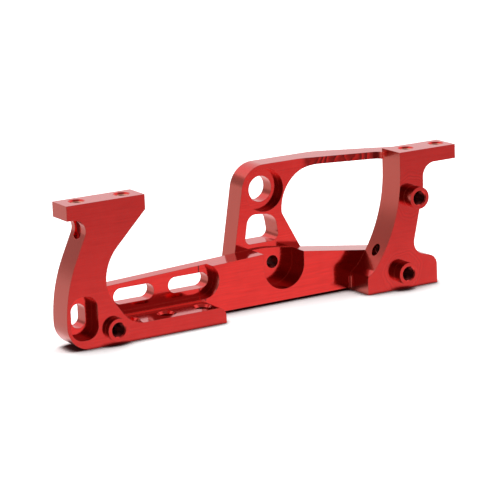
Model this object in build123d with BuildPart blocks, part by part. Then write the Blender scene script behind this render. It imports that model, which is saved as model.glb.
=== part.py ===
"""Motor mount for a small drive, machined from one block of aluminium and anodised.

X runs along the mount, Y from its front face to its back, Z up from the surface
that its feet stand on. The origin is on that surface, in the middle of the mount's
length and depth. Sizes below are given from the left pad's end, the front face of
the feet and the ground, and the function place turns them into the part's frame.
"""
from build123d import *
from math import cos, radians, tan
import os

# Overall
height = 32.0
overall_length = 100.7
pad_thickness = 3.3

# Left upright with its foot and pad
left_depth = 6.6
left_pad_length = 18.9
foot_overhang = 1.3
foot_radius = 5.6
foot_lean_start = 13.2
foot_lean_radius = 33.0
web_left = 5.8
web_left_blend = 2.7
web_waist = 8.6
waist_radius = 10.4
flare_start = 11.8
flare_radius = 6.8
flare_lean = 35.4
flare_blend = 6.4

# Front bar with its step
shelf_height = 3.7
bar_end = 38.0
bar_end_radius = 2.1

# Right upright with its foot and pad
right_depth = 7.2
right_pad_length = 15.45
right_web_inset = 9.1
right_web_drop = 5.7
right_web_lean = 13.3
right_web_radius = 6.0
right_foot_inset = 5.7
right_foot_length = 19.3
right_toe_height = 6.3
right_toe_rise = 2.1
inner_corner_height = 4.15
inner_corner_radius = 0.9
inner_ledge = (1.8, 1.25)
inner_ledge_radius = 1.0
inner_sweep_corner = 15.3
inner_sweep_radius = 34.0
pad_blend = 3.2
toe_blend = 3.0
toe_radius = 2.6

# Rail between the uprights
rail_thickness = 6.0
rail_start = 9.5
rail_end_inset = 8.7
rail_left_height = 10.24
crest_x = 55.9
crest_height = 12.1
crest_radius = 30.0
rail_fall = 8.0
underside_relief = 0.5
corner_blend = 0.8

# Pocket in the rail's left half and its two slots
pocket_start = 12.0
pocket_end = 40.65
pocket_depth = 2.7
pocket_floor = 4.2
pocket_cutter = 8.0
slot_length = 10.2
slot_height = 3.6
slot_centre = (20.3, 7.6)
slot_spacing = 13.85
slot_rise = 0.3

# Open pocket with its pivot hole in the rail's middle
pivot_x = 57.8
pivot_z = 8.45
pivot_pocket_diameter = 10.7
pivot_pocket_depth = 5.2
pivot_hole_diameter = 3.0

# Bearing frame behind the rail
frame_thickness = 5.4
frame_left = 51.8
frame_lean = 9.9
frame_width = 9.5
frame_wall = 1.0
seat_drop = 6.8
seat_diameter = 10.0
seat_depth = 1.9
bore_diameter = 6.0
frame_leg_drop = 5.9
frame_leg_lean = 28.4
frame_leg_end = 9.7
frame_foot_radius = 3.0
window_radius = 9.5
window_corner = 2.0
hole_left_wall = 2.45
hole_right_wall = 1.9
hole_right_spread = 1.0
hole_rise = 1.05
hole_drop = 5.1
hole_top_fall = 0.7
hole_radii = (1.4, 2.3, 3.0, 1.7)

# Bar that runs from the frame forward to the right upright
top_bar_thickness = 1.65
bar_front_run = 5.3
bar_front_blend = 10.0
bar_front_reach = 5.4
bar_front_fillet = 2.5
bar_back_run = 11.9
bar_back_slant = 25.0
bar_back_blend = 9.0
bar_overlap = 2.0

# Screw holes
boss_diameter = 5.1
thread_diameter = 3.0
boss_mouth_diameter = 3.5
pad_mouth_diameter = 3.8
pad_hole_depth = 7.7
mouth_angle = 90
drill_point_angle = 118
shelf_hole_diameter = 3.2
shelf_mouth_diameter = 4.3
left_pad_holes = (4.2, 15.1)
left_pad_hole_y = 3.5
right_pad_hole_insets = (11.2, 2.8)
right_pad_hole_y = 3.8
shelf_hole_start = 15.9
shelf_hole_spacing = 9.0
shelf_hole_y = 3.6
left_boss = (10.3, 3.5)
left_boss_length = 1.5
upper_boss_inset = 12.05
upper_boss_drop = 7.3
upper_boss_length = 2.7
lower_boss_inset = 15.25
lower_boss_height = 4.0
lower_boss_length = 2.4
cross_hole_diameter = 2.6
cross_hole_place = (3.4, 9.4)
cross_hole_depth = 9.0

# Counterbored slot in the left foot
foot_slot_centre = (2.9, 6.95)
foot_pocket = (6.6, 9.7)
foot_pocket_radius = 2.8
foot_pocket_depth = 3.0
foot_slot = (3.4, 5.5)

# Least part of a side that a round corner leaves straight
straight_share = 0.02

# Worked out from the sizes above
pad_underside = height - pad_thickness
right_pad_start = overall_length - right_pad_length
right_web_edge = overall_length - right_web_inset
right_web_bend = pad_underside - right_web_drop
right_foot_end = overall_length - right_foot_inset
right_foot_start = right_foot_end - right_foot_length
rail_end = overall_length - rail_end_inset
rail_front = right_depth
rail_back = rail_front + rail_thickness
frame_back = rail_back + frame_thickness
seat_height = height - seat_drop
frame_top = seat_height + seat_diameter / 2 + frame_wall
frame_corner_radius = frame_top - seat_height
window_left = frame_left + frame_width
window_top = frame_top - top_bar_thickness
frame_leg_top = seat_height - frame_leg_drop
hole_bottom = crest_height + hole_rise
hole_top = seat_height - hole_drop
bosses = [
    (left_boss, left_boss_length, left_depth),
    ((overall_length - upper_boss_inset, pad_underside - upper_boss_drop), upper_boss_length, right_depth),
    ((overall_length - lower_boss_inset, lower_boss_height), lower_boss_length, right_depth),
]
origin_x = (overall_length - foot_overhang) / 2
origin_y = (frame_back - upper_boss_length) / 2


def lean(angle, rise):
    """Sideways travel of a straight edge that leans by an angle over a rise."""
    return rise * tan(radians(angle))


def place(x, y, z):
    """Point of the part's frame for a place given from the left pad's end and the front face."""
    return (x - origin_x, y - origin_y, z)


def front(y, x=0, z=0):
    """Plane that looks out to the front, y behind the front face."""
    return Plane(origin=place(x, y, z), x_dir=(1, 0, 0), z_dir=(0, -1, 0))


def level(z, x=0, y=0):
    """Plane that looks up, z above the ground."""
    return Plane(origin=place(x, y, z))


def outline(corners):
    """Closed face through corners given as (x, z, radius). Where two round corners would
    meet on the side between them, both radii give way until the side holds them."""
    count = len(corners)
    points = [Vector(x, z) for x, z, _ in corners]
    sides = [points[(number + 1) % count] - points[number] for number in range(count)]
    turns = [radians(sides[number - 1].get_angle(sides[number])) for number in range(count)]
    reaches = [radius * tan(turn / 2) for (_, _, radius), turn in zip(corners, turns)]
    loads = [
        (reaches[number] + reaches[(number + 1) % count]) / side.length
        for number, side in enumerate(sides)
    ]
    radii = [
        radius * min(1, (1 - straight_share) / max(loads[number - 1], loads[number], straight_share))
        for number, (_, _, radius) in enumerate(corners)
    ]
    with BuildSketch() as face:
        with BuildLine():
            FilletPolyline(*points, radius=radii, close=True)
        make_face()
    return face.sketch


def drill_point(diameter, depth):
    """Cone that a drill leaves at the bottom of a blind hole."""
    point_length = diameter / 2 / tan(radians(drill_point_angle / 2))
    with Locations((0, 0, -depth)):
        Cone(0, diameter / 2, point_length, align=(Align.CENTER, Align.CENTER, Align.MAX), mode=Mode.SUBTRACT)


left_outline = outline([
    (-foot_overhang, 0, foot_radius),
    (-foot_overhang, foot_lean_start, foot_lean_radius),
    (web_left, pad_underside, web_left_blend),
    (0, pad_underside, 0),
    (0, height, 0),
    (left_pad_length, height, 0),
    (left_pad_length, pad_underside, 0),
    (web_waist, pad_underside - (left_pad_length - web_waist), waist_radius),
    (web_waist, flare_start, flare_radius),
    (web_waist + lean(flare_lean, flare_start - shelf_height), shelf_height, flare_blend),
    (bar_end, shelf_height, bar_end_radius),
    (bar_end, 0, 0),
])

ledge_x = right_foot_start + inner_ledge[0]
ledge_z = inner_corner_height + inner_ledge[1]
right_waist_height = right_toe_height + right_toe_rise
right_waist = right_web_edge - lean(right_web_lean, right_web_bend - right_waist_height)
right_outline = outline([
    (right_foot_start, 0, 0),
    (right_foot_start, inner_corner_height, inner_corner_radius),
    (ledge_x, ledge_z, inner_ledge_radius),
    (right_pad_start, inner_sweep_corner, inner_sweep_radius),
    (right_pad_start, height, 0),
    (overall_length, height, 0),
    (overall_length, pad_underside, 0),
    (right_web_edge, pad_underside, pad_blend),
    (right_web_edge, right_web_bend, right_web_radius),
    (right_waist, right_waist_height, toe_blend),
    (right_foot_end, right_toe_height, toe_radius),
    (right_foot_end, 0, 0),
])

rail_right_height = crest_height - lean(rail_fall, rail_end - crest_x)
rail_outline = outline([
    (rail_start, 0, 0),
    (rail_start, rail_left_height, 0),
    (crest_x, crest_height, crest_radius),
    (rail_end, rail_right_height, 0),
    (rail_end, 0, 0),
    (right_foot_start, 0, 0),
    (right_foot_start, underside_relief, 0),
    (bar_end, underside_relief, 0),
    (bar_end, 0, 0),
])

# Front outline of the bearing frame with the top bar, and the hole below its seat
bar_front_bend = window_left + bar_front_run
bar_back_bend = window_left + bar_back_run
bar_back_end = bar_back_bend + (frame_back - right_depth) / tan(radians(bar_back_slant))
leg_foot_x = window_left + lean(frame_leg_lean, frame_leg_top - frame_leg_end)
frame_foot_x = frame_left - lean(frame_lean, frame_top - underside_relief)
frame_outline = outline([
    (frame_foot_x, underside_relief, 0),
    (frame_left, frame_top, frame_corner_radius),
    (bar_back_end + frame_thickness, frame_top, 0),
    (bar_back_end + frame_thickness, window_top, 0),
    (window_left, window_top, window_radius),
    (window_left, frame_leg_top, window_corner),
    (leg_foot_x, frame_leg_end, frame_foot_radius),
    (leg_foot_x, underside_relief, 0),
])
seat_x = frame_left + frame_corner_radius * (1 / cos(radians(frame_lean)) - tan(radians(frame_lean)))

hole_left = frame_left + hole_left_wall
hole_right = window_left - hole_right_wall
lightening_hole = outline([
    (hole_left - lean(frame_lean, frame_top - hole_bottom), hole_bottom, hole_radii[0]),
    (hole_left - lean(frame_lean, frame_top - hole_top), hole_top, hole_radii[1]),
    (hole_right, hole_top - hole_top_fall, hole_radii[2]),
    (hole_right + hole_right_spread, hole_bottom, hole_radii[3]),
])

# Plan of the frame and of its slanting bar. The bar's front edge rounds into the right
# upright's inner side, its back edge runs out on the upright's back face.
frame_plan = outline([
    (frame_foot_x - frame_thickness, rail_back, 0),
    (bar_front_bend, rail_back, bar_front_blend),
    (right_pad_start, rail_back - bar_front_reach, bar_front_fillet),
    (right_pad_start, right_depth - bar_overlap, 0),
    (bar_back_end, right_depth - bar_overlap, 0),
    (bar_back_end, right_depth, 0),
    (bar_back_bend, frame_back, bar_back_blend),
    (frame_foot_x - frame_thickness, frame_back, 0),
])

with BuildPart() as bearing_frame:
    # Plate with its bent bar, cut to the outline that is seen from the front
    with BuildSketch(level(0)):
        add(frame_plan)
    extrude(amount=frame_top + frame_thickness)
    with BuildSketch(front(frame_back + frame_thickness)):
        add(frame_outline)
    extrude(amount=frame_back + 2 * frame_thickness, mode=Mode.INTERSECT)

    # Bearing seat, its bore and the lightening hole below them
    with Locations(front(rail_back, seat_x, seat_height)):
        CounterBoreHole(bore_diameter / 2, seat_diameter / 2, seat_depth, depth=frame_thickness)
    with BuildSketch(front(frame_back)):
        add(lightening_hole)
    extrude(amount=frame_thickness, mode=Mode.SUBTRACT)

with BuildPart() as motor_mount:
    # Left upright and front bar
    with BuildSketch(front(left_depth)):
        add(left_outline)
    extrude(amount=left_depth)

    # Right upright
    with BuildSketch(front(right_depth)):
        add(right_outline)
    extrude(amount=right_depth)

    # Rail, and the root that joins it to the left upright and the front bar
    with BuildSketch(front(rail_back)):
        add(rail_outline)
    extrude(amount=rail_thickness)
    with BuildSketch(front(rail_front)):
        add(left_outline)
        with Locations((rail_start, 0)):
            Rectangle(bar_end - rail_start, rail_left_height, align=Align.MIN, mode=Mode.INTERSECT)
    extrude(amount=rail_front - left_depth)

    # Bearing frame on the rail's back
    add(bearing_frame.part)

    # Round inner corner where the right foot meets the rail
    with BuildSketch(level(underside_relief)):
        with Locations((right_foot_start - corner_blend, rail_front - corner_blend)):
            Rectangle(corner_blend, corner_blend, align=Align.MIN)
            Circle(corner_blend, mode=Mode.SUBTRACT)
    extrude(amount=inner_corner_height - inner_corner_radius - underside_relief)

    # Pocket in the rail's left half, round at its right end
    pocket_round = pocket_cutter / 2
    with BuildSketch(front(rail_front + pocket_depth)):
        with Locations((pocket_start, pocket_floor)):
            Rectangle(pocket_end - pocket_round - pocket_start, pocket_cutter, align=Align.MIN)
        with Locations((pocket_end - pocket_round, pocket_floor + pocket_round)):
            Circle(pocket_round)
    extrude(amount=pocket_depth, mode=Mode.SUBTRACT)

    # Slots through the wall behind the pocket
    with BuildSketch(front(rail_back)):
        for number in range(2):
            with Locations((slot_centre[0] + number * slot_spacing, slot_centre[1] + number * slot_rise)):
                SlotOverall(slot_length, slot_height)
    extrude(amount=rail_thickness - pocket_depth, mode=Mode.SUBTRACT)

    # Open pocket and pivot hole in the middle of the rail
    with BuildSketch(front(rail_front + pivot_pocket_depth)):
        with Locations((pivot_x, pivot_z)):
            Circle(pivot_pocket_diameter / 2)
            Rectangle(pivot_pocket_diameter, crest_height, align=(Align.CENTER, Align.MIN))
    extrude(amount=pivot_pocket_depth, mode=Mode.SUBTRACT)
    with Locations(front(rail_front + pivot_pocket_depth, pivot_x, pivot_z)):
        Hole(pivot_hole_diameter / 2, depth=frame_back - rail_front - pivot_pocket_depth)

    # Counterbored slot in the left foot
    with BuildSketch(front(foot_pocket_depth)):
        with Locations(foot_slot_centre):
            RectangleRounded(*foot_pocket, foot_pocket_radius)
    extrude(amount=foot_pocket_depth, mode=Mode.SUBTRACT)
    with BuildSketch(front(left_depth)):
        with Locations(foot_slot_centre):
            SlotOverall(foot_slot[1], foot_slot[0], rotation=90)
    extrude(amount=left_depth - foot_pocket_depth, mode=Mode.SUBTRACT)

    # Three tapped bosses on the front
    for (x, z), length, depth in bosses:
        with BuildSketch(front(0)):
            with Locations((x, z)):
                Circle(boss_diameter / 2)
        extrude(amount=length)
        with Locations(front(-length, x, z)):
            CounterSinkHole(
                thread_diameter / 2, boss_mouth_diameter / 2, length + depth, counter_sink_angle=mouth_angle
            )

    # Tapped holes in the pads, and the holes through the front bar
    pad_places = [(x, left_pad_hole_y) for x in left_pad_holes]
    pad_places += [(overall_length - inset, right_pad_hole_y) for inset in right_pad_hole_insets]
    with Locations([level(height, x, y) for x, y in pad_places]):
        CounterSinkHole(
            thread_diameter / 2, pad_mouth_diameter / 2, pad_hole_depth, counter_sink_angle=mouth_angle
        )
        drill_point(thread_diameter, pad_hole_depth)
    shelf_holes = [shelf_hole_start + number * shelf_hole_spacing for number in range(3)]
    with Locations([level(shelf_height, x, shelf_hole_y) for x in shelf_holes]):
        CounterSinkHole(
            shelf_hole_diameter / 2, shelf_mouth_diameter / 2, shelf_height, counter_sink_angle=mouth_angle
        )

    # Cross hole in the inner face of the right upright
    with Locations(Plane(origin=place(right_foot_start, *cross_hole_place), z_dir=(-1, 0, 0))):
        Hole(cross_hole_diameter / 2, depth=cross_hole_depth)
        drill_point(cross_hole_diameter, cross_hole_depth)

motor_mount.part.label = "motor_mount"
os.makedirs("parts", exist_ok=True)
export_step(motor_mount.part, "parts/motor_mount.step")
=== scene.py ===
# %% [markdown]
# # A red anodised motor mount
# The mount is one piece of aluminium, cut from a block on a milling machine and then
# anodised. Its real shape comes from the CAD model, so this script gives it its finish,
# the screw threads in its holes and the studio around it. Everything is in metres, in
# the CAD model's own frame: X along the mount, Y to the back, Z up from the floor.

from math import cos, pi, radians, sin

import bmesh
import bpy
from mathutils import Matrix, Vector


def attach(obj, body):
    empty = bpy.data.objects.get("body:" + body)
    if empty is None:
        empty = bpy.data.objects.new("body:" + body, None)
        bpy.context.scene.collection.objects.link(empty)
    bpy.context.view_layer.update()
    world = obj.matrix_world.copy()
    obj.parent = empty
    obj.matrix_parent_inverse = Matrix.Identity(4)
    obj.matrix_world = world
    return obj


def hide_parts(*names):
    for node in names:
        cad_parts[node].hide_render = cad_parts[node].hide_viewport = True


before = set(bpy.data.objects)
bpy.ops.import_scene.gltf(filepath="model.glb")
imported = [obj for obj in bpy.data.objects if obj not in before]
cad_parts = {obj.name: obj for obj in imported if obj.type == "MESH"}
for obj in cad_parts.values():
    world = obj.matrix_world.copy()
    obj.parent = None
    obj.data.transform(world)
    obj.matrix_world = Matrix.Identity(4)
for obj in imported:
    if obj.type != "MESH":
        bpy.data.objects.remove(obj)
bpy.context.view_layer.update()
MM = 0.001
scene = bpy.context.scene
scene.view_settings.view_transform = "Standard"

# %% [markdown]
# ## The camera
# The picture of the mount was taken from the left and a little above,
# through a long lens. Four angles of view and a distance are all that such a camera needs.
# The camera is turned a little about its own axis too, which photographers call roll.

# %% Camera
AZIMUTH, ELEVATION, ROLL = radians(30.65), radians(13.61), radians(2.18)
CAMERA_PLACE = Vector((-276.84, -466.61, 144.66)) * MM
LENS, SENSOR = 178.4, 36.0

forward = Vector((sin(AZIMUTH) * cos(ELEVATION), cos(AZIMUTH) * cos(ELEVATION), -sin(ELEVATION)))
level_right = Vector((cos(AZIMUTH), -sin(AZIMUTH), 0))
level_down = forward.cross(level_right)
right = level_right * cos(ROLL) + level_down * sin(ROLL)
up = level_right * sin(ROLL) - level_down * cos(ROLL)

camera = bpy.data.objects.new("camera", bpy.data.cameras.new("camera"))
scene.collection.objects.link(camera)
camera.matrix_world = Matrix.Translation(CAMERA_PLACE) @ Matrix((right, up, -forward)).transposed().to_4x4()
camera.data.lens, camera.data.sensor_width = LENS, SENSOR
camera.data.clip_start, camera.data.clip_end = 0.05, 10
scene.camera = camera
print("the camera stands", round(CAMERA_PLACE.length, 3), "m from the mount")

# %% [markdown]
# ## Helpers for materials
# A material is a small network of nodes. One function adds a node, sets its values and
# links its inputs, so that each material below reads as a list of steps. Colours are
# written as the hex values that a paint chart gives, and turned to the linear values
# that light is added up in.

# %% Node helpers
def linear(hex_colour):
    """Linear red, green, blue and alpha of an sRGB colour such as "c8102e"."""
    parts = [int(hex_colour[i:i + 2], 16) / 255 for i in (0, 2, 4)]
    return [p / 12.92 if p <= 0.04045 else ((p + 0.055) / 1.055) ** 2.4 for p in parts] + [1.0]


def add_node(tree, kind, values=None, links=None, **settings):
    """Adds a node of that kind. values and links go by input name or number."""
    node = tree.nodes.new(kind)
    for name, value in settings.items():
        setattr(node, name, value)
    for key, value in (values or {}).items():
        node.inputs[key].default_value = value
    for key, output in (links or {}).items():
        tree.links.new(output, node.inputs[key])
    return node


def calculate(tree, operation, *terms):
    """Output of a Math node. Each term is a number or another node's output."""
    node = add_node(tree, "ShaderNodeMath", operation=operation)
    for place, term in enumerate(terms):
        if isinstance(term, (int, float)):
            node.inputs[place].default_value = term
        else:
            tree.links.new(term, node.inputs[place])
    return node.outputs[0]


def product(tree, first, *others):
    """Output of Math nodes that multiply all the terms."""
    for other in others:
        first = calculate(tree, "MULTIPLY", first, other)
    return first


def fade(tree, source, start, full):
    """Share from 0 to 1 that rises smoothly between two values of a source."""
    return add_node(tree, "ShaderNodeMapRange", {"From Min": start, "From Max": full},
                    {"Value": source}, interpolation_type="SMOOTHSTEP").outputs[0]


def noise(tree, source, scale, detail):
    """Height from 0 to 1 of a noise texture over a place."""
    return add_node(tree, "ShaderNodeTexNoise", {"Scale": scale, "Detail": detail}, {"Vector": source}).outputs["Fac"]


def level_ramp(tree, source, stops):
    """Grey level that follows a source value through stops of (value, level)."""
    low, high = stops[0][0], stops[-1][0]
    share = add_node(tree, "ShaderNodeMapRange", {"From Min": low, "From Max": high}, {"Value": source})
    node = add_node(tree, "ShaderNodeValToRGB", links={0: share.outputs[0]})
    elements = node.color_ramp.elements
    while len(elements) < len(stops):
        elements.new(0.5)
    for element, (value, level) in zip(elements, stops):
        element.position, element.color = (value - low) / (high - low), (level, level, level, 1)
    return node.outputs["Color"]


def new_material(name):
    """An empty material and its node tree."""
    material = bpy.data.materials.new(name)
    material.use_nodes = True
    material.node_tree.nodes.clear()
    return material, material.node_tree


print("half grey, 808080, is", round(linear("808080")[0], 3), "in linear light")

# %% [markdown]
# ## Anodised aluminium
# Anodising grows a hard, clear oxide layer on the metal, and the dye sits in its pores.
# Light passes the red layer, mirrors off the metal below and comes out red, while the
# layer's own surface adds a weak white reflection that grows at flat angles. So the
# metal is a red metallic surface with a clear coat over it. A single glossy red would
# look like paint, because it would lack the red mirror below.

# %% Colours of the finish
DYED_METAL = "ef2a24"
DYED_METAL_DEEP = "da1e19"
# Paler colour painted on the left-facing faces as a painted sheen
PAINTED_SHEEN_METAL = "dc5a4c"
# Pale line at the edges: partly thin dye, partly a painted highlight
THIN_DYE_AND_PAINTED_HIGHLIGHT = "f0705e"
OXIDE_IOR = 1.6

print("the finish runs from", DYED_METAL_DEEP, "to", DYED_METAL)

# %% [markdown]
# ## Marks of the milling cutter
# A milling cutter leaves fine lines along its path. They are heights in millimetres that a
# bump node turns into shading, because marks a few thousandths of a millimetre deep need
# no mesh of their own. Noise that is stretched along X gives straight lines of uneven
# strength. Their places come from the mount's own coordinates, so they stay put in every
# view. Such lines usually lie about 0.1 mm apart, and are drawn coarser so that they show.

# %% Straight lines
LINE_LENGTH, LINE_SPACING, LINE_DEPTH = 7.0, 0.3, 0.004

def straight_lines(tree, in_mm):
    """Lines along the mount, from 0 to 1."""
    stretch = (1 / LINE_LENGTH, 1 / LINE_SPACING, 1 / LINE_SPACING)
    place = add_node(tree, "ShaderNodeVectorMath", {1: stretch}, {0: in_mm}, operation="MULTIPLY").outputs[0]
    return noise(tree, place, 1.0, 2.0)


print("the straight lines lie", LINE_SPACING, "mm apart")

# %% [markdown]
# ## Rings about the bosses
# Where the tool went round a boss, its lines are rings about it. The distance to the
# nearer boss is fed to a noise with one dimension, which gives rings of uneven strength,
# and a slow drift keeps them from looking turned on a lathe.

# %% Rings
RING_SPACING, RING_DEPTH, RING_DRIFT = 0.42, 0.012, 6.0
# Distances from a boss in mm where the rings are full and end
RING_NEAR, RING_FAR = 3.0, 11.0
# The right upright's bosses in mm along X and Z
RING_CENTRES = [(38.95, 21.4), (35.75, 4.0)]

def boss_rings(tree, in_mm, drift):
    """Rings from 0 to 1, and the share of the face that they cover."""
    flat = add_node(tree, "ShaderNodeVectorMath", {1: (1, 0, 1)}, {0: in_mm}, operation="MULTIPLY").outputs[0]
    upper, lower = [
        add_node(tree, "ShaderNodeVectorMath", {1: (x, 0, z)}, {0: flat}, operation="DISTANCE").outputs["Value"]
        for x, z in RING_CENTRES
    ]
    reach = calculate(tree, "MINIMUM", upper, lower)
    place = calculate(tree, "MULTIPLY_ADD", reach, 1 / RING_SPACING, product(tree, drift, RING_DRIFT))
    rings = add_node(tree, "ShaderNodeTexNoise", {"Scale": 1.0, "Detail": 1.0}, {"W": place}, noise_dimensions="1D")
    return rings.outputs["Fac"], fade(tree, reach, RING_FAR, RING_NEAR)


print("the rings lie", RING_SPACING, "mm apart about", len(RING_CENTRES), "bosses")

# %% [markdown]
# ## Hollows on the slanting bar
# The bar between the frame and the right upright looks cut with the side of the tool, in
# short steps. Each step leaves a shallow upright hollow, and a mirror-like finish shows
# them as light and dark stripes. The absolute value of a sine has that shape: round
# hollows with sharp crests between them.

# %% Hollows
HOLLOW_SPACING, HOLLOW_DEPTH, HOLLOW_DRIFT = 1.65, 0.026, 9.0
# Along X the hollows begin, are full and end, and along Z they begin and are full
HOLLOW_START, HOLLOW_FULL, HOLLOW_LAST, HOLLOW_END = 14.0, 26.0, 34.7, 35.2
HOLLOW_FOOT, HOLLOW_FOOT_FULL = 28.8, 29.4

def bar_hollows(tree, place, drift, front):
    """Height of the hollows in millimetres, which is negative."""
    turn = calculate(tree, "MULTIPLY_ADD", place["X"], pi / HOLLOW_SPACING, product(tree, drift, HOLLOW_DRIFT))
    hollow = calculate(tree, "ABSOLUTE", calculate(tree, "SINE", turn))
    on_bar = product(tree, fade(tree, place["X"], HOLLOW_START, HOLLOW_FULL),
                     fade(tree, place["X"], HOLLOW_END, HOLLOW_LAST),
                     fade(tree, place["Z"], HOLLOW_FOOT, HOLLOW_FOOT_FULL))
    return product(tree, hollow, on_bar, front, -HOLLOW_DEPTH)


print("the hollows are", HOLLOW_DEPTH, "mm deep")

# %% [markdown]
# ## The broken edge behind the shelf
# A low step runs behind the shelf. Its edge is broken by a small slope that catches the
# light from above. It is half a millimetre high, so it is only shaded as leaning back:
# the height falls evenly from the slope's foot, and faster near its top.

# %% Step
# Heights of the slope's foot, of the break near its top, and of the top
STEP_FOOT, STEP_BREAK, STEP_TOP = 3.7, 4.04, 4.2
STEP_LEFT, STEP_RIGHT, STEP_END_FADE = -37.6, -12.6, 0.3
STEP_FRONT, STEP_FRONT_FADE = -2.0, 0.5
STEP_LEAN, BREAK_LEAN = 0.4, 0.6

def step_edge(tree, place, front):
    """Height of the leaning step in millimetres, which is negative."""
    slope, broken = [
        add_node(tree, "ShaderNodeMapRange", {"From Min": start, "From Max": end, "To Max": lean},
                 {"Value": place["Z"]}).outputs[0]
        for start, end, lean in ((STEP_FOOT, STEP_BREAK, STEP_LEAN), (STEP_BREAK, STEP_TOP, BREAK_LEAN))
    ]
    on_step = product(tree, fade(tree, place["X"], STEP_LEFT, STEP_LEFT + STEP_END_FADE),
                      fade(tree, place["X"], STEP_RIGHT, STEP_RIGHT - STEP_END_FADE),
                      fade(tree, place["Y"], STEP_FRONT, STEP_FRONT + STEP_FRONT_FADE))
    return product(tree, calculate(tree, "ADD", slope, broken), on_step, front, -1)


print("the step's edge leans back by", STEP_LEAN + BREAK_LEAN, "mm over", round(STEP_TOP - STEP_FOOT, 2), "mm")

# %% [markdown]
# ## All the marks together
# The rings take the straight lines' place near the bosses. A face that was milled from a
# thin blank is also a little wavy, which bends the reflections on it. All heights are
# added, so that one bump node serves them.

# %% Cutter marks
WAVE_LENGTH, WAVE_DEPTH = 8.0, 0.02
DRIFT_SCALE = 0.25
# Y of a face's direction where it starts to count as a front face, and counts fully
FRONT_STARTS, FRONT_FULL = -0.75, -0.92

def cutter_marks(tree, place, normal):
    """Height of the marks in millimetres, and the fine lines alone from 0 to 1."""
    in_mm = add_node(tree, "ShaderNodeVectorMath", {"Scale": 1 / MM}, {0: place}, operation="SCALE").outputs[0]
    split = add_node(tree, "ShaderNodeSeparateXYZ", links={0: in_mm}).outputs
    facing = add_node(tree, "ShaderNodeSeparateXYZ", links={0: normal}).outputs
    front = fade(tree, facing["Y"], FRONT_STARTS, FRONT_FULL)
    drift = noise(tree, in_mm, DRIFT_SCALE, 1.0)

    lines = straight_lines(tree, in_mm)
    rings, near_boss = boss_rings(tree, in_mm, drift)
    ringed = product(tree, near_boss, front)
    fine = add_node(tree, "ShaderNodeMix", links={0: ringed, 2: lines, 3: rings}, data_type="FLOAT").outputs[0]
    depth = add_node(tree, "ShaderNodeMix", {2: LINE_DEPTH, 3: RING_DEPTH}, {0: ringed}, data_type="FLOAT").outputs[0]

    height = calculate(tree, "ADD", product(tree, fine, depth), bar_hollows(tree, split, drift, front))
    height = calculate(tree, "ADD", height, step_edge(tree, split, front))
    waves = noise(tree, in_mm, 1 / WAVE_LENGTH, 1.0)
    return calculate(tree, "MULTIPLY_ADD", waves, WAVE_DEPTH, height), fine


print("a milled face waves every", WAVE_LENGTH, "mm")

# %% [markdown]
# ## The dye
# The dye is a little uneven, and darker in the valleys of the cutter's lines. The front
# faces that stand furthest forward are painted darker than the rail's: their colour is
# taken down by a fifth as a painted shade. A face cut by the tool's side is duller, and the
# faces turned to the left are painted paler as a painted sheen. At an edge a fine pale line
# is painted, partly for the thin layer there and partly as a painted highlight. The Bevel
# node finds the edges: where the rounded direction that it gives differs from the face's
# own, an edge is near.

# %% Dye
CLOUD_SCALE, CLOUD_DETAIL = 0.3, 3.0
LINE_SHARE = 0.7
# Most of a noise texture's values lie between these two
NOISE_LOW, NOISE_HIGH = 0.3, 0.7
# Places from front to back in mm where the painted shade on the outer front faces starts and is full, and its level
PAINTED_SHADE_STARTS, PAINTED_SHADE_FULL = -6.5, -7.5
PAINTED_SHADE_LEVEL = 0.79
# X of a face's direction where the painted sheen on the left-facing faces starts and is full
PAINTED_SHEEN_STARTS, PAINTED_SHEEN_FULL = -0.6, -0.95
# Cosine of the bend at an edge where the pale line of thin dye and painted highlight starts and is full, and its
# share
EDGE_BEND, EDGE_BEND_FULL, EDGE_THIN_DYE_AND_HIGHLIGHT = 0.995, 0.9, 0.45

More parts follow.
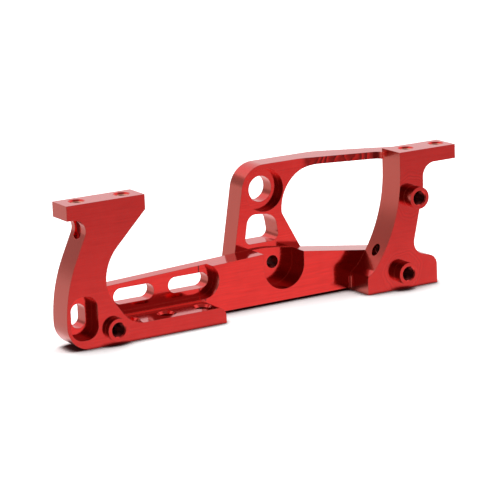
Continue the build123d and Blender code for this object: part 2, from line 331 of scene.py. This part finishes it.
def dye_and_painted_light_colour(tree, source, lines, round_edges):
    """Colour of the dyed layer over the whole mount, with a painted shade on the outer front faces, a painted sheen
    on the left-facing faces and a pale edge line that is partly a painted highlight.
    """
    clouds = noise(tree, source["Object"], CLOUD_SCALE / MM, CLOUD_DETAIL)
    amount = calculate(tree, "MULTIPLY_ADD", lines, LINE_SHARE, product(tree, clouds, 1 - LINE_SHARE))
    amount = add_node(tree, "ShaderNodeMapRange", {"From Min": NOISE_LOW, "From Max": NOISE_HIGH}, {"Value": amount})
    dye = add_node(tree, "ShaderNodeMix", {6: linear(DYED_METAL_DEEP), 7: linear(DYED_METAL)},
                   {0: amount.outputs[0]}, data_type="RGBA")
    facing = add_node(tree, "ShaderNodeSeparateXYZ", links={0: source["Normal"]}).outputs
    depth = add_node(tree, "ShaderNodeSeparateXYZ", links={0: source["Object"]}).outputs["Y"]
    # Painted shade: the outer front faces are made darker
    painted_shade = product(tree, fade(tree, depth, PAINTED_SHADE_STARTS * MM, PAINTED_SHADE_FULL * MM),
                    fade(tree, facing["Y"], FRONT_STARTS, FRONT_FULL))
    dye = add_node(tree, "ShaderNodeMix", {7: (PAINTED_SHADE_LEVEL, PAINTED_SHADE_LEVEL, PAINTED_SHADE_LEVEL, 1)},
                   {0: painted_shade, 6: dye.outputs[2]}, data_type="RGBA", blend_type="MULTIPLY")
    # Painted sheen: the left-facing faces are made paler
    side = add_node(tree, "ShaderNodeMapRange", {"From Min": PAINTED_SHEEN_STARTS, "From Max": PAINTED_SHEEN_FULL},
                    {"Value": facing["X"]})
    sheened = add_node(tree, "ShaderNodeMix", {7: linear(PAINTED_SHEEN_METAL)}, {0: side.outputs[0], 6: dye.outputs[2]},
                   data_type="RGBA")
    # Pale edge line: partly thin dye, partly a painted highlight
    face = add_node(tree, "ShaderNodeNewGeometry").outputs["Normal"]
    bend = add_node(tree, "ShaderNodeVectorMath", links={0: round_edges, 1: face}, operation="DOT_PRODUCT")
    edge = add_node(tree, "ShaderNodeMapRange",
                    {"From Min": EDGE_BEND, "From Max": EDGE_BEND_FULL, "To Max": EDGE_THIN_DYE_AND_HIGHLIGHT},
                    {"Value": bend.outputs["Value"]})
    return add_node(tree, "ShaderNodeMix", {7: linear(THIN_DYE_AND_PAINTED_HIGHLIGHT)}, {0: edge.outputs[0], 6: sheened.outputs[2]},
                    data_type="RGBA").outputs[2]


# The left-facing faces' paler colour is a painted sheen
print("a side-cut face is", PAINTED_SHEEN_METAL)

# %% [markdown]
# ## The metal
# The clear layer is harder than the metal, so the part shines although it is milled. The
# roughness follows the cutter's lines, and is higher where the tool's side cut, so that
# those faces show soft gradients and no mirror images. The bump bends the light along the
# lines and round the edges, as if they were broken by a tenth of a millimetre.

# %% Material of the mount
EDGE_ROUND = 0.12
SHINE, SHINE_IN_LINES, SIDE_CUT_SHINE = 0.1, 0.17, 0.25
# X of a face's direction where the side-cut roughness starts and is full
DULL_STARTS, DULL_FULL = -0.3, -0.7
OXIDE_WEIGHT, OXIDE_SHINE = 0.45, 0.06

def anodised_aluminium():
    """Red dyed aluminium oxide over milled aluminium."""
    material, tree = new_material("anodised aluminium, milled and dyed red")
    source = add_node(tree, "ShaderNodeTexCoord").outputs
    height, lines = cutter_marks(tree, source["Object"], source["Normal"])
    round_edges = add_node(tree, "ShaderNodeBevel", {"Radius": EDGE_ROUND * MM}, samples=4).outputs[0]
    bump = add_node(tree, "ShaderNodeBump", {"Strength": 1.0, "Distance": MM},
                    {"Height": height, "Normal": round_edges})
    shine = add_node(tree, "ShaderNodeMapRange",
                     {"From Min": NOISE_LOW, "From Max": NOISE_HIGH, "To Min": SHINE, "To Max": SHINE_IN_LINES},
                     {"Value": lines})
    facing = add_node(tree, "ShaderNodeSeparateXYZ", links={0: source["Normal"]}).outputs["X"]
    dull = fade(tree, facing, DULL_STARTS, DULL_FULL)
    shine = add_node(tree, "ShaderNodeMix", {3: SIDE_CUT_SHINE}, {0: dull, 2: shine.outputs[0]}, data_type="FLOAT")
    surface = add_node(
        tree, "ShaderNodeBsdfPrincipled",
        {"Metallic": 1.0, "Coat Weight": OXIDE_WEIGHT, "Coat Roughness": OXIDE_SHINE, "Coat IOR": OXIDE_IOR},
        {"Base Color": dye_and_painted_light_colour(tree, source, lines, round_edges), "Roughness": shine.outputs[0],
         "Normal": bump.outputs[0]},
    )
    add_node(tree, "ShaderNodeOutputMaterial", links={"Surface": surface.outputs[0]})
    return material


red_metal = anodised_aluminium()
print("made", red_metal.name, "with", len(red_metal.node_tree.nodes), "nodes")

# %% [markdown]
# ## The mount's body
# The CAD model arrives as loose triangles. A copy with its points joined can be shaded
# smoothly over its round corners and flat over its faces, which a mirror-like finish
# needs: on such a finish the eye sees every facet.

# %% Smooth copy of the mount
SHARP_ANGLE = radians(24)
JOIN_DISTANCE = 0.0005 * MM

def smooth_copy(node, name):
    """The node's mesh with its points joined and its round faces shaded smooth."""
    shape = bmesh.new()
    shape.from_mesh(node.data)
    bmesh.ops.remove_doubles(shape, verts=shape.verts, dist=JOIN_DISTANCE)
    for face in shape.faces:
        face.smooth = True
    mesh = bpy.data.meshes.new(name)
    shape.to_mesh(mesh)
    shape.free()
    mesh.attributes.remove(mesh.attributes["custom_normal"])
    mesh.set_sharp_from_angle(angle=SHARP_ANGLE)
    piece = bpy.data.objects.new(name, mesh)
    scene.collection.objects.link(piece)
    weighted = piece.modifiers.new("flat faces stay flat", "WEIGHTED_NORMAL")
    weighted.keep_sharp = True
    return piece


body = smooth_copy(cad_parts["motor_mount"], "mount_body")
body.data.materials.append(red_metal)
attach(body, "root")
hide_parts("motor_mount")
print("the body has", len(body.data.polygons), "triangles")

# %% [markdown]
# ## Screw threads
# The holes in the bosses, the pads and the round pocket are taken as tapped for M3 screws:
# a ridge with slanting sides climbs 0.5 mm each turn. The cross hole has a smaller thread.
# A thread follows a rule, so a small Geometry Nodes tree makes it: a ridge's outline is
# swept along a spiral. Its inputs are a thread's sizes, so one tree serves every hole.

# %% Tree of a thread
# Root diameter, crest diameter and pitch of each size of thread in mm
M3, M2_5 = (2.92, 2.46, 0.5), (2.54, 2.1, 0.45)
CREST_SHARE = 0.25
STEPS_A_TURN = 32

def thread_tree():
    """Geometry Nodes group that sweeps a thread's ridge along a spiral."""
    tree = bpy.data.node_groups.new("screw thread", "GeometryNodeTree")
    for name, kind in (("Turns", "Float"), ("Pitch", "Float"), ("Root radius", "Float"), ("Crest radius", "Float"),
                       ("Crest width", "Float"), ("Steps a turn", "Int"), ("Material", "Material")):
        tree.interface.new_socket(name, in_out="INPUT", socket_type="NodeSocket" + kind)
    tree.interface.new_socket("Thread", in_out="OUTPUT", socket_type="NodeSocketGeometry")
    size = add_node(tree, "NodeGroupInput").outputs
    rise = add_node(tree, "ShaderNodeMath", links={0: size["Turns"], 1: size["Pitch"]}, operation="MULTIPLY")
    spiral = add_node(tree, "GeometryNodeCurveSpiral", links={
        "Resolution": size["Steps a turn"], "Rotations": size["Turns"], "Height": rise.outputs[0],
        "Start Radius": size["Root radius"], "End Radius": size["Root radius"]})
    level = add_node(tree, "GeometryNodeSetCurveNormal", links={"Curve": spiral.outputs[0]}, mode="Z_UP")
    depth = add_node(tree, "ShaderNodeMath", links={0: size["Root radius"], 1: size["Crest radius"]},
                     operation="SUBTRACT")
    ridge = add_node(tree, "GeometryNodeCurvePrimitiveQuadrilateral", {"Offset": 0.0}, mode="TRAPEZOID", links={
        "Bottom Width": size["Pitch"], "Top Width": size["Crest width"], "Height": depth.outputs[0]})
    middle = add_node(tree, "ShaderNodeMath", {1: 0.5}, {0: depth.outputs[0]}, operation="MULTIPLY")
    shift = add_node(tree, "ShaderNodeCombineXYZ", links={"Y": middle.outputs[0]})
    rooted = add_node(tree, "GeometryNodeTransform",
                      links={"Geometry": ridge.outputs[0], "Translation": shift.outputs[0]})
    inwards = add_node(tree, "GeometryNodeTransform", {"Rotation": (0, 0, radians(-90))},
                       {"Geometry": rooted.outputs[0]})
    swept = add_node(tree, "GeometryNodeCurveToMesh", {"Fill Caps": True},
                     {"Curve": level.outputs[0], "Profile Curve": inwards.outputs[0]})
    real = add_node(tree, "GeometryNodeRealizeInstances", links={0: swept.outputs[0]})
    coated = add_node(tree, "GeometryNodeSetMaterial",
                      links={"Geometry": real.outputs[0], "Material": size["Material"]})
    add_node(tree, "NodeGroupOutput", links={0: coated.outputs[0]})
    return tree


screw_thread = thread_tree()
print("a thread's sizes are:", [item.name for item in screw_thread.interface.items_tree if item.in_out == "INPUT"])

# %% [markdown]
# ## Finish of the threads
# A tap tears the metal a little, so a thread's sides are rougher than a milled face.
# Light is lost in the narrow groove between two turns, and a tapped hole looks almost
# black, as in the picture of the mount, so the threads' colour is painted dark as a
# painted shade. The first turns in the pads' mouths glint orange there, so a paler metal
# is painted on them as a painted glint.

# %% Material of the threads
# Colours of the threads, painted dark as a painted shade in the holes
SHADED_TAPPED_METAL = "7c1210"
SHADED_TAPPED_METAL_DEEP = "4a0a09"
# Paler metal painted on the first turns in the pads' mouths as a painted glint
PAINTED_GLINT_METAL = "f0a088"
# Heights in mm where the painted glint starts and is full, and its share
PAINTED_GLINT_START, PAINTED_GLINT_FULL, PAINTED_GLINT_SHARE = 30.4, 31.1, 0.85
TEAR_SIZE, TEAR_DEPTH, TEAR_STRENGTH = 0.15, 0.01, 0.5
TAPPED_SHINE, TAPPED_SHINE_IN_TEARS = 0.22, 0.4
TAPPED_OXIDE_WEIGHT, TAPPED_OXIDE_SHINE = 0.2, 0.2

def tapped_aluminium():
    """Dyed aluminium with the torn surface that a tap leaves, painted dark as a painted shade, with a painted glint
    in the pads' mouths.
    """
    material, tree = new_material("anodised aluminium, tapped and dyed red")
    place = add_node(tree, "ShaderNodeTexCoord").outputs["Object"]
    tears = add_node(tree, "ShaderNodeTexNoise", {"Scale": 1 / (TEAR_SIZE * MM), "Detail": 3.0}, {"Vector": place})
    colour = add_node(tree, "ShaderNodeMix", {6: linear(SHADED_TAPPED_METAL_DEEP), 7: linear(SHADED_TAPPED_METAL)},
                      {0: tears.outputs["Fac"]}, data_type="RGBA")
    height = add_node(tree, "ShaderNodeSeparateXYZ", links={0: place}).outputs["Z"]
    # Painted glint: the first turns in the pads' mouths are made paler
    painted_glint = product(tree, fade(tree, height, PAINTED_GLINT_START * MM, PAINTED_GLINT_FULL * MM), PAINTED_GLINT_SHARE)
    colour = add_node(tree, "ShaderNodeMix", {7: linear(PAINTED_GLINT_METAL)}, {0: painted_glint, 6: colour.outputs[2]},
                      data_type="RGBA")
    shine = add_node(tree, "ShaderNodeMapRange", {"To Min": TAPPED_SHINE, "To Max": TAPPED_SHINE_IN_TEARS},
                     {"Value": tears.outputs["Fac"]})
    bump = add_node(tree, "ShaderNodeBump", {"Strength": TEAR_STRENGTH, "Distance": TEAR_DEPTH * MM},
                    {"Height": tears.outputs["Fac"]})
    surface = add_node(
        tree, "ShaderNodeBsdfPrincipled",
        {"Metallic": 1.0, "Coat Weight": TAPPED_OXIDE_WEIGHT, "Coat Roughness": TAPPED_OXIDE_SHINE,
         "Coat IOR": OXIDE_IOR},
        {"Base Color": colour.outputs[2], "Roughness": shine.outputs[0], "Normal": bump.outputs[0]},
    )
    add_node(tree, "ShaderNodeOutputMaterial", links={"Surface": surface.outputs[0]})
    return material


shaded_thread_metal = tapped_aluminium()
print("made", shaded_thread_metal.name)

# %% [markdown]
# ## The tapped holes
# Each hole has a mouth and a direction that its screw goes in. The tree is run once for
# each depth of hole, and its result is turned and moved into the hole as a plain mesh.
# All the threads are joined to one piece, because they are cut in one part.

# %% Threads in their holes
INTO, DOWN, ACROSS = (0, 1, 0), (0, 0, -1), (1, 0, 0)
# Size of the thread, where its first turn lies in the mount's frame, the way in, and its length, in mm
TAPPED_HOLES = [
    (M3, (-39.4, -9.0, 3.5), INTO, 7.0),
    (M3, (38.95, -10.2, 21.4), INTO, 9.0),
    (M3, (35.75, -9.9, 4.0), INTO, 8.5),
    (M3, (8.1, 4.75, 8.45), INTO, 5.6),
    (M3, (-45.5, -4.45, 31.7), DOWN, 2.7),
    (M3, (-34.6, -4.45, 31.7), DOWN, 6.5),
    (M3, (39.8, -4.15, 31.7), DOWN, 6.5),
    (M3, (48.2, -4.15, 31.7), DOWN, 2.7),
    (M2_5, (31.4, -4.55, 9.4), ACROSS, 3.3),
]

def thread_mesh(size, length):
    """Mesh of a thread that climbs from the origin along Z."""
    root, crest, pitch = size
    holder = bpy.data.objects.new("thread", bpy.data.meshes.new("thread"))
    scene.collection.objects.link(holder)
    modifier = holder.modifiers.new("thread", "NODES")
    modifier.node_group = screw_thread
    sizes = {
        "Turns": length / pitch, "Pitch": pitch * MM, "Root radius": root / 2 * MM,
        "Crest radius": crest / 2 * MM, "Crest width": CREST_SHARE * pitch * MM,
        "Steps a turn": STEPS_A_TURN, "Material": shaded_thread_metal,
    }
    for item in screw_thread.interface.items_tree:
        if item.in_out == "INPUT":
            modifier[item.identifier] = sizes[item.name]
    mesh = bpy.data.meshes.new_from_object(holder.evaluated_get(bpy.context.evaluated_depsgraph_get()))
    holder.modifiers.remove(modifier)
    bpy.data.objects.remove(holder)
    return mesh


all_threads = bmesh.new()
for size, start, way_in, length in TAPPED_HOLES:
    thread = thread_mesh(size, length)
    turn = Vector(way_in).to_track_quat("Z", "Y").to_matrix().to_4x4()
    thread.transform(Matrix.Translation(Vector(start) * MM) @ turn)
    all_threads.from_mesh(thread)
bmesh.ops.recalc_face_normals(all_threads, faces=all_threads.faces)
for face in all_threads.faces:
    face.smooth = True
threads_mesh = bpy.data.meshes.new("screw_threads")
all_threads.to_mesh(threads_mesh)
all_threads.free()
threads_mesh.materials.append(shaded_thread_metal)
threads_mesh.set_sharp_from_angle(angle=SHARP_ANGLE)
threads = bpy.data.objects.new("screw_threads", threads_mesh)
scene.collection.objects.link(threads)
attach(threads, "root")
print(len(TAPPED_HOLES), "threads have", len(threads_mesh.polygons), "faces")
reach_low, reach_high = [
    [round(end(v.co[i] for v in threads_mesh.vertices) / MM, 2) for i in range(3)] for end in (min, max)
]
print("they lie between", reach_low, "and", reach_high, "in mm")

# %% [markdown]
# ## The studio
# Polished metal shows what stands around it, so the studio is as much a part of its look
# as its colour. The walls are white. The ceiling over the mount and the room behind the
# camera are darker, as in most studios, and that gives the recesses their deep red. The
# world is drawn as a brightness for each direction: a ramp by height, with soft patches.

# %% World
# Brightness by the height of a direction: -1 is straight down, 0 the horizon, 1 straight up
HEIGHT_LEVELS = [(-1.0, 1.0), (-0.24, 0.97), (-0.12, 0.75), (0.0, 0.6), (0.25, 0.92), (0.6, 1.0)]
# Soft patches on the studio's walls: direction, where the patch starts and is full, level
PATCHES = [
    ((0.52, 0.84, 0.12), 0.7, 0.92, 0.86),    # lit wall behind, to the right
    ((-0.56, 0.82, -0.2), 0.8, 0.95, 0.66),   # wall behind, to the left
    ((-0.5, 0.82, 0.27), 0.96, 0.995, 0.3),   # gap between two lit walls
    ((0.35, -0.82, 0.45), 0.8, 0.95, 0.26),   # room in front, on the right
    ((-0.5, -0.8, 0.3), 0.62, 0.88, 0.06),    # room behind the camera
    ((-0.6, -0.77, -0.2), 0.66, 0.96, 0.14),  # table below the camera
    ((0.0, -0.15, 0.98), 0.8, 0.95, 0.35),    # unlit ceiling over the mount
]

world = bpy.data.worlds.new("studio")
world.use_nodes = True
scene.world = world
tree = world.node_tree
tree.nodes.clear()
direction = add_node(tree, "ShaderNodeTexCoord").outputs["Generated"]
height = add_node(tree, "ShaderNodeSeparateXYZ", links={0: direction}).outputs["Z"]
light = level_ramp(tree, height, HEIGHT_LEVELS)
for centre, start, full, level in PATCHES:
    nearness = add_node(tree, "ShaderNodeVectorMath", {1: Vector(centre).normalized()}, {0: direction},
                        operation="DOT_PRODUCT")
    share = add_node(tree, "ShaderNodeMapRange", {"From Min": start, "From Max": full},
                     {"Value": nearness.outputs["Value"]}, interpolation_type="SMOOTHSTEP")
    light = add_node(tree, "ShaderNodeMix", {3: level}, {0: share.outputs[0], 2: light}, data_type="FLOAT").outputs[0]
seen = add_node(tree, "ShaderNodeLightPath")
strength = add_node(tree, "ShaderNodeMix", {3: 1.0}, {0: seen.outputs["Is Camera Ray"], 2: light}, data_type="FLOAT")
background = add_node(tree, "ShaderNodeBackground", {"Color": (1, 1, 1, 1)}, {"Strength": strength.outputs[0]})
add_node(tree, "ShaderNodeOutputWorld", links={"Surface": background.outputs[0]})
print("the studio has", len(PATCHES), "patches of light and dark")

# %% [markdown]
# ## The floor
# The floor is matt and pale, and its colour is raised for the camera alone until it is
# pure white there. Ambient occlusion darkens the narrow gap along the mount's feet, where
# hardly any light comes. A mirror looks through the floor at the studio's lower half,
# which is dimmer in front.

# %% Floor
# The floor's side in metres, and how far in mm it lies below the feet
FLOOR_SIZE, FLOOR_DROP = 4.0, 0.02
FLOOR_PAINT = "e6e6e6"
# Level at which the camera sees the open floor as pure white
FLOOR_GAIN = 1.35
# How far in mm the gap's shade reaches, its colour, and where it is full and ends
GAP_REACH, GAP_PAINT = 2.5, "5a3838"
GAP_DARK, GAP_CLEAR = 0.45, 0.9
# Brightness of the floor in a mirror, by its place from front to back in metres
FLOOR_LEVELS = [(-0.12, 0.8), (-0.06, 0.9), (-0.03, 1.0), (0.0, 1.0)]

def white_floor():
    """Matt white floor that the camera sees as pure white, with the mount's soft shadow."""
    material, tree = new_material("white painted floor")
    seen = add_node(tree, "ShaderNodeLightPath")
    gap = add_node(tree, "ShaderNodeAmbientOcclusion", {"Distance": GAP_REACH * MM}, samples=12)
    open_floor = add_node(tree, "ShaderNodeMapRange", {"From Min": GAP_DARK, "From Max": GAP_CLEAR},
                          {"Value": gap.outputs["AO"]})
    shown = add_node(tree, "ShaderNodeMix", {6: linear(GAP_PAINT), 7: (FLOOR_GAIN, FLOOR_GAIN, FLOOR_GAIN, 1)},
                     {0: open_floor.outputs[0]}, data_type="RGBA")
    paint = add_node(tree, "ShaderNodeMix", {6: linear(FLOOR_PAINT)},
                     {0: seen.outputs["Is Camera Ray"], 7: shown.outputs[2]}, data_type="RGBA")
    matt = add_node(tree, "ShaderNodeBsdfDiffuse", links={"Color": paint.outputs[2]})
    place = add_node(tree, "ShaderNodeTexCoord").outputs["Object"]
    depth = add_node(tree, "ShaderNodeSeparateXYZ", links={0: place}).outputs["Y"]
    mirrored = add_node(tree, "ShaderNodeMix", {6: linear(GAP_PAINT)},
                        {0: open_floor.outputs[0], 7: level_ramp(tree, depth, FLOOR_LEVELS)},
                        data_type="RGBA")
    clear = add_node(tree, "ShaderNodeBsdfTransparent", links={"Color": mirrored.outputs[2]})
    surface = add_node(tree, "ShaderNodeMixShader",
                       links={0: seen.outputs["Is Glossy Ray"], 1: matt.outputs[0], 2: clear.outputs[0]})
    add_node(tree, "ShaderNodeOutputMaterial", links={"Surface": surface.outputs[0]})
    return material


half = FLOOR_SIZE / 2
floor_mesh = bpy.data.meshes.new("floor")
floor_mesh.from_pydata([(-half, -half, 0), (half, -half, 0), (half, half, 0), (-half, half, 0)], [], [(0, 1, 2, 3)])
floor_mesh.materials.append(white_floor())
floor = bpy.data.objects.new("floor", floor_mesh)
floor.location.z = -FLOOR_DROP * MM
scene.collection.objects.link(floor)
print("the floor is", FLOOR_SIZE, "m wide")

# %% [markdown]
# ## The lamp
# One large soft lamp hangs above and a little behind the mount and gives the floor its
# soft shadow. Mirrors don't see it, because a lamp in the finish would be a hard bright
# spot in every hollow.

# %% Lamp
LAMP_PLACE, LAMP_SIZE, LAMP_POWER = (0.1, 0.15, 0.8), 1.0, 5.6

def soft_box(name, place, size, power):
    """Square lamp at a place, turned to the mount."""
    lamp = bpy.data.lights.new(name, "AREA")
    lamp.shape, lamp.size, lamp.energy = "SQUARE", size, power
    lamp_object = bpy.data.objects.new(name, lamp)
    lamp_object.location = place
    lamp_object.rotation_euler = (-Vector(place)).to_track_quat("-Z", "Y").to_euler()
    lamp_object.visible_glossy = False
    scene.collection.objects.link(lamp_object)


soft_box("overhead softbox", LAMP_PLACE, LAMP_SIZE, LAMP_POWER)
print("the lamp gives", LAMP_POWER, "W over", LAMP_SIZE, "m")
